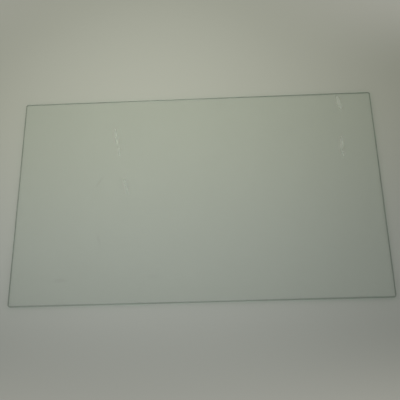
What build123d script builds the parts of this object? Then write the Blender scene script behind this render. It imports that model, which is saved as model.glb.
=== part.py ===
from build123d import *

import os
from math import sqrt

# Fridge glass shelf: one sheet of toughened glass with rounded corners and a
# pencil-ground edge all the way round. It lies flat on its underside, with the
# long front edge towards -Y and the origin at the middle of the underside.

# Driving dimensions, in millimetres
width = 475.0  # across the fridge, over the ground edges
depth = 284.0  # front to back, over the ground edges
thickness = 4.0
face_corner_radius = 2.0  # corners of the flat faces, inside the ground border
wheel_allowance = 0.2  # grinding wheel's groove radius, over half the thickness

# The wheel's groove is a little wider than a half round, so the edge is a
# shallow arc that meets both flat faces at a soft crease.
groove_radius = thickness / 2 + wheel_allowance
edge_crown = groove_radius - sqrt(groove_radius**2 - (thickness / 2) ** 2)
face_width = width - 2 * edge_crown
face_depth = depth - 2 * edge_crown

with BuildPart() as glass_pane:
    # Flat middle of the sheet, up to the line where the ground border begins
    with BuildSketch() as flat_face:
        RectangleRounded(face_width, face_depth, face_corner_radius)
    extrude(amount=thickness)

    # Section of the ground border, standing on the middle of the front edge
    front_middle = Plane.YZ.shift_origin((0, -face_depth / 2, 0))
    with BuildSketch(front_middle):
        with BuildLine():
            chord = Line((0, 0), (0, thickness))
            SagittaArc(chord @ 0, chord @ 1, edge_crown)
        make_face()
    sweep(path=flat_face.face().outer_wire())

glass_pane.part.label = "glass_pane"

os.makedirs("parts", exist_ok=True)
export_step(glass_pane.part, "parts/glass_pane.step")
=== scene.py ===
"""The looks of a fridge glass shelf: one bare pane of clear toughened glass on a pale floor."""

from math import cos, pi, radians, sin

import bpy
import numpy as np
from mathutils import Matrix, Vector


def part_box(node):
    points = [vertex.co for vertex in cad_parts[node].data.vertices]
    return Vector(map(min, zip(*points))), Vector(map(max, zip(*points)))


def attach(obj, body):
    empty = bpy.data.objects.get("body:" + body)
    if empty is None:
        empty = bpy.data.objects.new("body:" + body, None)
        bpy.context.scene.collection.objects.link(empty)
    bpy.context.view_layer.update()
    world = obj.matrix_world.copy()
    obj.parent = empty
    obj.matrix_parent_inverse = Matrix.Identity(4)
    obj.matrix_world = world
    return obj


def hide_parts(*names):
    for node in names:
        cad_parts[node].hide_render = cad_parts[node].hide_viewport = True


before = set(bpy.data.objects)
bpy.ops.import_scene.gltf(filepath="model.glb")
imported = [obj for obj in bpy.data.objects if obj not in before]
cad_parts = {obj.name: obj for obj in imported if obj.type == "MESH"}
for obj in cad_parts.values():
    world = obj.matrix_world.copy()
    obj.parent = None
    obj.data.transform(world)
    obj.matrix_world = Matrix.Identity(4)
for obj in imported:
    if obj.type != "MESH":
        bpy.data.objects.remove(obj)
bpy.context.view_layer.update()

MM = 0.001  # one millimetre in the scene's metres

# The pane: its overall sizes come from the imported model, and its edge is ground as the solid's is
pane_low, pane_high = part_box("glass_pane")
WIDTH, DEPTH, THICKNESS = pane_high - pane_low
FACE_CORNER_RADIUS = 2.0 * MM
GROOVE_RADIUS = THICKNESS / 2 + 0.2 * MM
CORNER_STEPS = 12
SIDE_STEPS = 24
RIM_STEPS = 20

# Camera, worked out from the four corners of the pane in the photograph
LENS_MM = 56.366
CAMERA_ELEVATION = radians(68.628)
CAMERA_AZIMUTH = radians(5.755)
CAMERA_ROLL = radians(-7.210)
CAMERA_DISTANCE = 813.660 * MM
CAMERA_TARGET = Vector((2.378, -7.322, 0.0)) * MM

# Dried water on the top face, in millimetres from the pane's middle: middle across, middle front
# to back, length, width, lean from front to back in degrees, thickness of the film
DRIED_STREAKS = (
    (-109.4, 87.3, 34.0, 4.2, 8.5, 0.10),
    (-104.4, 65.4, 16.0, 2.2, 6.9, 0.26),
    (-94.4, 14.9, 28.0, 2.0, 15.4, 0.24),
    (193.9, 127.2, 24.0, 4.8, 10.4, 0.43),
    (191.5, 64.9, 24.0, 4.0, -4.3, 0.48),
    (191.4, 51.3, 13.0, 4.2, 15.2, 0.08),
)
THREAD_WIDTH = 0.7 * MM  # the film dries in threads along its run
THREAD_LENGTH = 7.0 * MM
THREAD_THIN = 0.85
THREAD_THICK = 1.15
RUN_WANDER = 1.6 * MM  # a run strays this far, over this length
WANDER_LENGTH = 12.0 * MM
FILM_SCATTER = 0.22  # share of the light that a film of thickness 1 throws back
FILM_ROUGHNESS = 0.28
FILM_MATT_FROM = 0.01  # the film starts to hide the gloss at this thickness, and hides it at the next
FILM_MATT_AT = 0.06

# Dull smears on the top face, laid out as the streaks are, with the share of light that each takes
DULL_SMEARS = (
    (-172.9, -110.3, 26.0, 8.0, -88.0, 0.06),
    (-56.8, -108.5, 26.0, 8.0, 88.0, 0.04),
    (-126.8, -59.6, 26.0, 5.0, 15.7, 0.065),
    (-129.5, 21.2, 24.0, 5.0, -33.0, 0.08),
)
MARK_FADE = 0.6  # share of a mark's half width over which it fades out

# Finish of the faces: swathes left by a cloth, and hairlines from things pushed to the back
FACE_ROUGHNESS = 0.01
SWATHE_LENGTH = 90.0 * MM
SWATHE_WIDTH = 16.0 * MM
SWATHE_LEAN = radians(-14)
SWATHE_HAZE = 0.03  # roughness that a swathe adds
HAIRLINE_LENGTH = 70.0 * MM
HAIRLINE_WIDTH = 0.8 * MM
HAIRLINE_LEAN = radians(7)
HAIRLINE_FROM = 0.66  # only the highest peaks of the noise make a hairline
HAIRLINE_AT = 0.72
HAIRLINE_HAZE = 0.12

# Finish of the ground rim: fine steps left by the wheel, all the way round
RIM_ROUGHNESS = 0.2
WHEEL_MARK_LENGTH = 60.0 * MM
WHEEL_MARK_SPACING = 0.9 * MM
WHEEL_MARK_DEPTH = 0.02 * MM
WHEEL_MARK_HAZE = 0.04

# Nearly all the values of a noise texture lie between low and high
NOISE_LOW = 0.35
NOISE_MIDDLE = 0.5
NOISE_HIGH = 0.65

# The glass itself
GLASS_IOR = 1.52
TINT_PER_METRE = 8.0  # how fast the tint builds up along the light's way

# Floor: cool in front and warm behind, and paler clear of the shelf, as painted light where the soft
# box's pool fades
FLOOR_GAP = 0.2 * MM
FLOOR_REACH = 30.0
FLOOR_ROUGHNESS = 0.9
FLOOR_SHEEN = 0.2
HUE_REACH = 0.16  # from the middle to where the cool or the warm is full
# Painted light: beyond this room about the shelf the paint grows paler as the soft box's pool fades
SHELF_ROOM = (0.28, 0.165, 0.0)  # half sizes of the floor that counts as near the shelf
PALER_OVER = 0.14  # the paint grows paler over this far beyond it

# Soft box: its light makes a pool about the point that it is aimed at
LAMP_PLACE = (-0.162, -0.299, 1.20)
LAMP_AIM = (-0.069, 0.113, 0.0)
LAMP_SIZE = 0.5
LAMP_SPREAD = radians(30)
LAMP_WATTS = 0.578
# The floor's painted light reads these: its paint grows paler where the pool fades
POOL_CORE = 0.20  # the pool starts to fade this far from the point, and ends at the edge
POOL_EDGE = 0.57

# Dome: dimmer low down, up to this share of its height, and about one direction overhead, where
# the cosine of the angle from it goes from edge to core
HORIZON_HEIGHT = 0.4
DIM_TOWARDS = Vector((-0.03, 0.40, 0.92)).normalized()
DIM_EDGE = 0.80
DIM_CORE = 0.93

# Light runs a long way inside a sheet of glass, from one face to the other and back
BOUNCES_IN_GLASS = 160
BOUNCES_IN_ALL = 192


def linear(hex_colour):
    """An sRGB hex colour as linear red, green, blue and an alpha of 1.

    Below 0.04045 a channel is divided by 12.92, and above it raised to the power 2.4."""
    channels = [int(hex_colour[i : i + 2], 16) / 255 for i in (1, 3, 5)]
    light = [c / 12.92 if c <= 0.04045 else ((c + 0.055) / 1.055) ** 2.4 for c in channels]
    return (*light, 1.0)


def add_node(tree, kind, inputs=None, **settings):
    """Adds one node to a tree. Settings are the node's own properties, and each input, by name or
    number, gets a value or a link from another node's output."""
    node = tree.nodes.new(kind)
    for name, value in settings.items():
        setattr(node, name, value)
    for key, value in (inputs or {}).items():
        if isinstance(value, bpy.types.NodeSocket):
            tree.links.new(value, node.inputs[key])
        else:
            node.inputs[key].default_value = value
    return node


def empty_material(name):
    """A material with an empty node tree."""
    material = bpy.data.materials.new(name)
    material.use_nodes = True
    material.node_tree.nodes.clear()
    return material


def face_outline(half_width, half_depth, radius):
    """Outline of a flat face, anticlockwise from above, as points and their outward normals.

    Each corner is a quarter circle about a centre set in by the radius from both sides, and the
    end of one corner runs straight to the start of the next in equal steps."""
    quarter = np.arange(4)[:, None] * pi / 2
    angle = quarter + np.linspace(0, pi / 2, CORNER_STEPS + 1)
    normals = np.stack((np.cos(angle), np.sin(angle)), axis=-1)
    inset = np.array((half_width - radius, half_depth - radius))
    diagonal = np.stack((np.cos(quarter + pi / 4), np.sin(quarter + pi / 4)), axis=-1)
    corners = np.sign(diagonal) * inset + radius * normals
    share = np.linspace(0, 1, SIDE_STEPS + 1)[1:-1, None]
    starts = corners[:, -1:]
    ends = np.roll(corners[:, :1], -1, axis=0)
    sides = starts + (ends - starts) * share
    side_normals = np.broadcast_to(normals[:, -1:], sides.shape)
    points = np.concatenate((corners, sides), axis=1).reshape(-1, 2)
    return points, np.concatenate((normals, side_normals), axis=1).reshape(-1, 2)


def ground_rim():
    """Section of the ground edge, from the underside up, as distances out from the flat face and
    heights.

    It is the arc of the wheel's groove that spans the thickness: out is the groove radius times
    the angle's cosine, less its value where the arc meets the faces, and up is the groove radius
    times the sine."""
    reach = np.arcsin(THICKNESS / 2 / GROOVE_RADIUS)
    angle = np.linspace(-reach, reach, RIM_STEPS + 1)
    out = GROOVE_RADIUS * (np.cos(angle) - cos(reach))
    return out, THICKNESS / 2 + GROOVE_RADIUS * np.sin(angle)


def glass_sheet():
    """The pane: the rim's section carried round the outline of the flat faces, closed by the two
    faces.

    A point of the rim is the outline's point plus its normal times the section's distance out, at
    the section's height. The ground attribute is 0 on the faces and 1 on the rim."""
    out, height = ground_rim()
    crown = out.max()
    outline, normals = face_outline(WIDTH / 2 - crown, DEPTH / 2 - crown, FACE_CORNER_RADIUS)
    count = len(outline)
    rim = np.empty((len(out), count, 3))
    rim[:, :, :2] = outline + normals * out[:, None, None]
    rim[:, :, 2] = height[:, None]

    here = np.arange(count)
    after = np.roll(here, -1)
    ring = np.arange(len(out) - 1)[:, None] * count
    quads = np.stack(
        (ring + here, ring + after, ring + count + after, ring + count + here), axis=-1
    )
    underside = here[::-1]
    top = here + (len(out) - 1) * count

    mesh = bpy.data.meshes.new("shelf_glass")
    faces = quads.reshape(-1, 4).tolist() + [underside.tolist(), top.tolist()]
    mesh.from_pydata(rim.reshape(-1, 3).tolist(), [], faces)
    on_rim = np.ones(len(faces), bool)
    on_rim[-2:] = False
    mesh.polygons.foreach_set("use_smooth", on_rim)
    ground = mesh.attributes.new("ground", "FLOAT", "FACE")
    ground.data.foreach_set("value", on_rim.astype(np.float32))
    return mesh


def long_mark(tree, place, across, back, length, width, lean):
    """A soft long mark on the top face.

    It is 1 less the distance from its middle, counted in half lengths along it and half widths
    across it, and eased so that it is 1 along the middle and 0 from the outline outwards."""
    along = add_node(
        tree,
        "ShaderNodeMapping",
        {
            "Vector": place,
            "Location": (across * MM, back * MM, THICKNESS),
            "Rotation": (0, 0, radians(lean)),
            "Scale": (width / 2 * MM, length / 2 * MM, THICKNESS / 2),
        },
        vector_type="TEXTURE",
    )
    mark = add_node(
        tree, "ShaderNodeTexGradient", {0: along.outputs[0]}, gradient_type="SPHERICAL"
    )
    return add_node(
        tree,
        "ShaderNodeMapRange",
        {0: mark.outputs["Fac"], 2: MARK_FADE},
        interpolation_type="SMOOTHSTEP",
    ).outputs[0]


def dried_film(tree, place):
    """Thickness of the dried film: the sum of the streaks, thin and thick by turns in threads."""
    along = add_node(
        tree,
        "ShaderNodeMapping",
        {"Vector": place, "Scale": (THREAD_WIDTH, THREAD_LENGTH, THICKNESS)},
        vector_type="TEXTURE",
    )
    threads = add_node(
        tree, "ShaderNodeTexNoise", {"Vector": along.outputs[0], "Scale": 1.0, "Detail": 2.0}
    )
    uneven = add_node(
        tree,
        "ShaderNodeMapRange",
        {
            0: threads.outputs["Fac"],
            1: NOISE_LOW,
            2: NOISE_HIGH,
            3: THREAD_THIN,
            4: THREAD_THICK,
        },
    )
    film = 0.0
    for *shape, thickness in DRIED_STREAKS:
        run = long_mark(tree, place, *shape)
        film = add_node(
            tree, "ShaderNodeMath", {0: run, 1: thickness, 2: film}, operation="MULTIPLY_ADD"
        ).outputs[0]
    return add_node(
        tree, "ShaderNodeMath", {0: film, 1: uneven.outputs[0]}, operation="MULTIPLY"
    ).outputs[0]


def smeared_dirt(tree, place):
    """Share of light that the dull smears take: the sum of their soft marks."""
    dirt = 0.0
    for *shape, share in DULL_SMEARS:
        smear = long_mark(tree, place, *shape)
        dirt = add_node(
            tree, "ShaderNodeMath", {0: smear, 1: share, 2: dirt}, operation="MULTIPLY_ADD"
        ).outputs[0]
    return dirt


def worn_faces(tree, place):
    """Roughness of the faces: that of new glass, a little more in a cloth's swathes, and more
    along hairlines.

    Real hairlines are a few hundredths of a millimetre wide, too fine to show, so they are drawn
    wider."""
    swathe_run = add_node(
        tree,
        "ShaderNodeMapping",
        {
            "Vector": place,
            "Rotation": (0, 0, SWATHE_LEAN),
            "Scale": (SWATHE_LENGTH, SWATHE_WIDTH, THICKNESS),
        },
        vector_type="TEXTURE",
    )
    swathes = add_node(
        tree, "ShaderNodeTexNoise", {"Vector": swathe_run.outputs[0], "Scale": 1.0, "Detail": 2.0}
    )
    wiped = add_node(
        tree,
        "ShaderNodeMapRange",
        {
            0: swathes.outputs["Fac"],
            1: NOISE_LOW,
            2: NOISE_HIGH,
            3: FACE_ROUGHNESS,
            4: FACE_ROUGHNESS + SWATHE_HAZE,
        },
    )
    hairline_run = add_node(
        tree,
        "ShaderNodeMapping",
        {
            "Vector": place,
            "Rotation": (0, 0, HAIRLINE_LEAN),
            "Scale": (HAIRLINE_WIDTH, HAIRLINE_LENGTH, THICKNESS),
        },
        vector_type="TEXTURE",
    )
    hairlines = add_node(
        tree,
        "ShaderNodeTexNoise",
        {"Vector": hairline_run.outputs[0], "Scale": 1.0, "Detail": 1.0},
    )
    scratched = add_node(
        tree,
        "ShaderNodeMapRange",
        {0: hairlines.outputs["Fac"], 1: HAIRLINE_FROM, 2: HAIRLINE_AT, 4: HAIRLINE_HAZE},
    )
    return add_node(
        tree, "ShaderNodeMath", {0: wiped.outputs[0], 1: scratched.outputs[0]}, operation="ADD"
    ).outputs[0]


def toughened_float_glass():
    """Clear soda-lime float glass, cut, wheel-ground at the edge and toughened.

    Face on it is nearly colourless, and along the sheet sea green, because iron in the melt takes
    red and some blue out of the light. The float bath leaves the faces mirror smooth. The ground
    edge stays a little satin after polishing, and from above it is a thin dark line, made darker
    by painted shade in the rim's grey. Use leaves faint marks on the faces."""
    material = empty_material("toughened_float_glass")
    tree = material.node_tree
    place = add_node(tree, "ShaderNodeTexCoord").outputs["Object"]
    ground = add_node(tree, "ShaderNodeAttribute", attribute_name="ground").outputs["Fac"]

    # The streaks and smears follow a slightly wandering line
    wander = add_node(
        tree, "ShaderNodeTexNoise", {"Vector": place, "Scale": 1 / WANDER_LENGTH, "Detail": 1.0}
    )
    either_way = add_node(
        tree,
        "ShaderNodeVectorMath",
        {0: wander.outputs["Color"], 1: (NOISE_MIDDLE, NOISE_MIDDLE, NOISE_MIDDLE)},
        operation="SUBTRACT",
    )
    drifted = add_node(
        tree,
        "ShaderNodeVectorMath",
        {0: either_way.outputs[0], 1: (RUN_WANDER, RUN_WANDER, 0.0), 2: place},
        operation="MULTIPLY_ADD",
    ).outputs[0]
    film = dried_film(tree, drifted)
    clear = add_node(
        tree, "ShaderNodeMath", {0: film, 1: -FILM_SCATTER, 2: 1.0}, operation="MULTIPLY_ADD"
    )

    # Painted shade: the soft box shines through the pane undimmed, so the faces take a touch of grey
    # for the light that the glass would take on the way down, and the rim takes a darker grey that
    # deepens its dark line from above
    bare = add_node(
        tree,
        "ShaderNodeMix",
        {0: ground, 6: linear("#F8FAF8"), 7: linear("#C7CBC8")},
        data_type="RGBA",
    )
    filmed = add_node(
        tree, "ShaderNodeMix", {0: film, 6: bare.outputs[2], 7: linear("#FBFAF0")}, data_type="RGBA"
    )
    colour = add_node(
        tree,
        "ShaderNodeMix",
        {0: smeared_dirt(tree, drifted), 6: filmed.outputs[2], 7: linear("#000000")},
        data_type="RGBA",
    )

    # The wheel's marks are a few hundredths of a millimetre apart, too fine to show, so they are
    # drawn coarser
    round_the_rim = add_node(
        tree,
        "ShaderNodeMapping",
        {"Vector": place, "Scale": (WHEEL_MARK_LENGTH, WHEEL_MARK_LENGTH, WHEEL_MARK_SPACING)},
        vector_type="TEXTURE",
    )
    wheel_marks = add_node(
        tree,
        "ShaderNodeTexNoise",
        {"Vector": round_the_rim.outputs[0], "Scale": 1.0, "Detail": 2.0},
    ).outputs["Fac"]
    on_rim = add_node(tree, "ShaderNodeMath", {0: wheel_marks, 1: ground}, operation="MULTIPLY")
    stepped = add_node(
        tree, "ShaderNodeBump", {"Height": on_rim.outputs[0], "Distance": WHEEL_MARK_DEPTH}
    )
    satin = add_node(
        tree,
        "ShaderNodeMapRange",
        {
            0: wheel_marks,
            1: NOISE_LOW,
            2: NOISE_HIGH,
            3: RIM_ROUGHNESS - WHEEL_MARK_HAZE,
            4: RIM_ROUGHNESS + WHEEL_MARK_HAZE,
        },
    )
    finish = add_node(
        tree, "ShaderNodeMix", {0: ground, 2: worn_faces(tree, place), 3: satin.outputs[0]}
    )
    matt = add_node(
        tree,
        "ShaderNodeMapRange",
        {0: film, 1: FILM_MATT_FROM, 2: FILM_MATT_AT},
        interpolation_type="SMOOTHSTEP",
    )
    rough = add_node(
        tree, "ShaderNodeMix", {0: matt.outputs[0], 2: finish.outputs[0], 3: FILM_ROUGHNESS}
    )

    glass = add_node(
        tree,
        "ShaderNodeBsdfPrincipled",
        {
            "Base Color": colour.outputs[2],
            "IOR": GLASS_IOR,
            "Transmission Weight": clear.outputs[0],
            "Roughness": rough.outputs[0],
            "Normal": stepped.outputs[0],
        },
    )
    tint = add_node(
        tree,
        "ShaderNodeVolumeAbsorption",
        {"Color": linear("#A4E7CE"), "Density": TINT_PER_METRE},
    )
    add_node(
        tree,
        "ShaderNodeOutputMaterial",
        {"Surface": glass.outputs[0], "Volume": tint.outputs[0]},
    )
    return material


def matt_floor():
    """Matt pale paint, cool in front of the shelf and warm behind it.

    Clear of the shelf it is paler where the soft box's pool of light has faded: painted light, so
    that the far floor stays as light."""
    material = empty_material("matt_floor_paint")
    tree = material.node_tree
    place = add_node(tree, "ShaderNodeTexCoord").outputs["Object"]
    back = add_node(tree, "ShaderNodeSeparateXYZ", {0: place}).outputs["Y"]
    rear = add_node(
        tree,
        "ShaderNodeMapRange",
        {0: back, 1: -HUE_REACH, 2: HUE_REACH},
        interpolation_type="SMOOTHSTEP",
    )
    either_side = add_node(tree, "ShaderNodeVectorMath", {0: place}, operation="ABSOLUTE")
    past = add_node(
        tree,
        "ShaderNodeVectorMath",
        {0: either_side.outputs[0], 1: SHELF_ROOM},
        operation="SUBTRACT",
    )
    beyond = add_node(tree, "ShaderNodeVectorMath", {0: past.outputs[0]}, operation="MAXIMUM")
    away = add_node(tree, "ShaderNodeVectorMath", {0: beyond.outputs[0]}, operation="LENGTH")
    clear_of_shelf = add_node(
        tree,
        "ShaderNodeMapRange",
        {0: away.outputs["Value"], 1: 0.0, 2: PALER_OVER},
        interpolation_type="SMOOTHSTEP",
    )
    from_pool = add_node(
        tree, "ShaderNodeVectorMath", {0: place, 1: LAMP_AIM}, operation="DISTANCE"
    )
    faded = add_node(
        tree,
        "ShaderNodeMapRange",
        {0: from_pool.outputs["Value"], 1: POOL_CORE, 2: POOL_EDGE},
        interpolation_type="SMOOTHSTEP",
    )
    # Painted light: clear of the shelf and away from the pool, the paint turns paler
    far = add_node(
        tree,
        "ShaderNodeMath",
        {0: clear_of_shelf.outputs[0], 1: faded.outputs[0]},
        operation="MULTIPLY",
    )
    near = add_node(
        tree,
        "ShaderNodeMix",
        {0: rear.outputs[0], 6: linear("#A5A8A2"), 7: linear("#A6A89B")},
        data_type="RGBA",
    )
    tone = add_node(
        tree,
        "ShaderNodeMix",
        {0: far.outputs[0], 6: near.outputs[2], 7: linear("#D8D8CF")},
        data_type="RGBA",
    )
    paint = add_node(
        tree,
        "ShaderNodeBsdfPrincipled",
        {
            "Base Color": tone.outputs[2],
            "Roughness": FLOOR_ROUGHNESS,
            "Specular IOR Level": FLOOR_SHEEN,
        },
    )
    add_node(tree, "ShaderNodeOutputMaterial", {"Surface": paint.outputs[0]})
    return material


def shelf():
    """The dressed pane, which stands for the solid one."""
    mesh = glass_sheet()
    mesh.materials.append(toughened_float_glass())
    pane = bpy.data.objects.new("shelf_glass", mesh)
    bpy.context.scene.collection.objects.link(pane)
    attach(pane, "root")
    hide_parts("glass_pane")


def floor():
    """A wide flat floor, a hair below the pane's underside."""
    corners = np.array(((-1, -1), (1, -1), (1, 1), (-1, 1))) * FLOOR_REACH
    mesh = bpy.data.meshes.new("floor")
    mesh.from_pydata([(x, y, -FLOOR_GAP) for x, y in corners], [], [(0, 1, 2, 3)])
    mesh.materials.append(matt_floor())
    plane = bpy.data.objects.new("floor", mesh)
    bpy.context.scene.collection.objects.link(plane)


def soft_box():
    """A square soft box that faces the point it is aimed at.

    Through two polished faces its light would reach the floor only by chance, as grain, so it
    casts no shadow. The dome's light does."""
    light = bpy.data.lights.new("soft_box", "AREA")
    light.shape = "SQUARE"
    light.size = LAMP_SIZE
    light.spread = LAMP_SPREAD
    light.energy = LAMP_WATTS
    light.use_shadow = False
    lamp = bpy.data.objects.new("soft_box", light)
    lamp.location = LAMP_PLACE
    facing = Vector(LAMP_AIM) - Vector(LAMP_PLACE)
    lamp.rotation_euler = facing.to_track_quat("-Z", "Y").to_euler()
    lamp.visible_camera = False
    lamp.visible_transmission = False
    bpy.context.scene.collection.objects.link(lamp)


def studio_dome():
    """An even dome, about as pale as the far floor at the horizon, and dim overhead behind the
    shelf, in the part that the pane mirrors."""
    world = bpy.data.worlds.new("studio")
    world.use_nodes = True
    tree = world.node_tree
    tree.nodes.clear()
    direction = add_node(tree, "ShaderNodeTexCoord").outputs["Generated"]
    height = add_node(tree, "ShaderNodeSeparateXYZ", {0: direction}).outputs["Z"]
    risen = add_node(
        tree,
        "ShaderNodeMapRange",
        {0: height, 1: 0.0, 2: HORIZON_HEIGHT},
        interpolation_type="SMOOTHSTEP",
    )
    towards = add_node(
        tree, "ShaderNodeVectorMath", {0: direction, 1: DIM_TOWARDS}, operation="DOT_PRODUCT"
    )
    shade = add_node(
        tree,
        "ShaderNodeMapRange",
        {0: towards.outputs["Value"], 1: DIM_EDGE, 2: DIM_CORE},
        interpolation_type="SMOOTHSTEP",
    )
    even = add_node(
        tree,
        "ShaderNodeMix",
        {0: risen.outputs[0], 6: linear("#9A9B93"), 7: linear("#C1C1BF")},
        data_type="RGBA",
    )
    tone = add_node(
        tree,
        "ShaderNodeMix",
        {0: shade.outputs[0], 6: even.outputs[2], 7: linear("#A3A29B")},
        data_type="RGBA",
    )
    dome = add_node(tree, "ShaderNodeBackground", {"Color": tone.outputs[2], "Strength": 1.0})
    add_node(tree, "ShaderNodeOutputWorld", {"Surface": dome.outputs[0]})
    bpy.context.scene.world = world


def camera():
    """The photograph's camera: set back from its target by the distance, at the elevation and
    azimuth, and turned about its own line of sight by the roll."""
    view = bpy.data.cameras.new("camera")
    view.lens = LENS_MM
    back = Vector(
        (
            sin(CAMERA_AZIMUTH) * cos(CAMERA_ELEVATION),
            -cos(CAMERA_AZIMUTH) * cos(CAMERA_ELEVATION),
            sin(CAMERA_ELEVATION),
        )
    )
    level = Vector((cos(CAMERA_AZIMUTH), sin(CAMERA_AZIMUTH), 0))
    upright = back.cross(level)
    right = level * cos(CAMERA_ROLL) + upright * sin(CAMERA_ROLL)
    turn = Matrix((right, back.cross(right), back)).transposed().to_4x4()
    eye = bpy.data.objects.new("camera", view)
    eye.matrix_world = Matrix.Translation(CAMERA_TARGET + back * CAMERA_DISTANCE) @ turn
    bpy.context.scene.collection.objects.link(eye)
    bpy.context.scene.camera = eye


shelf()
floor()
studio_dome()
soft_box()
camera()
bpy.context.scene.view_settings.view_transform = "Standard"

# Blurred reflections would darken the floor under the glass
cycles = bpy.context.scene.cycles
cycles.blur_glossy = 0.0
cycles.max_bounces = BOUNCES_IN_ALL
cycles.glossy_bounces = BOUNCES_IN_GLASS
cycles.transmission_bounces = BOUNCES_IN_GLASS
